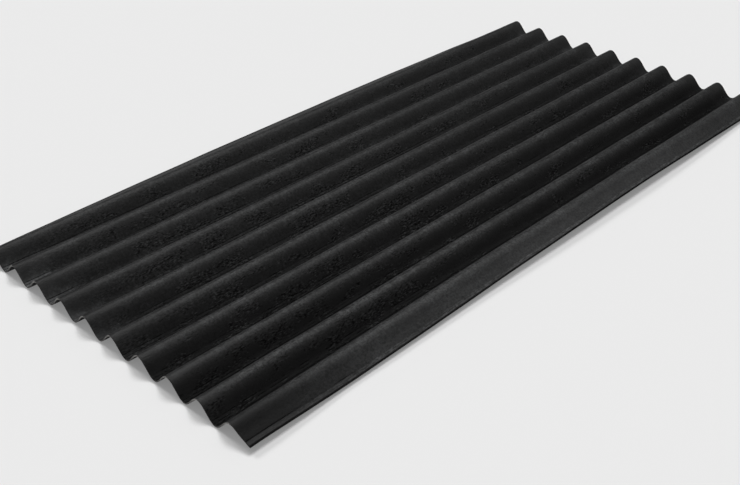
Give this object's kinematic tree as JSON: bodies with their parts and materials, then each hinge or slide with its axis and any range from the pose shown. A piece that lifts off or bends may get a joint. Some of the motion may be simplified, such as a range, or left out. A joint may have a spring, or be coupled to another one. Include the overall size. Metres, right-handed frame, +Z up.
{
  "type": "corrugated bitumen sheet",
  "caption": "Corrugated bitumen roofing sheet, black, with round waves along its length, square-cut ends and a shallow lip along each side edge.",
  "frame": {"origin": "centre of the sheet's plan, on the plane that the undersides of its valleys lie on", "axes": "+Y along the waves, +X across them, +Z up out of the upper face"},
  "size_m": [0.95, 2, 0.038],
  "materials": {
    "bitumen_fibre": "matte"
  },
  "bodies": {
    "root": {"corrugated_sheet": "bitumen_fibre"}
  },
  "joints": []
}
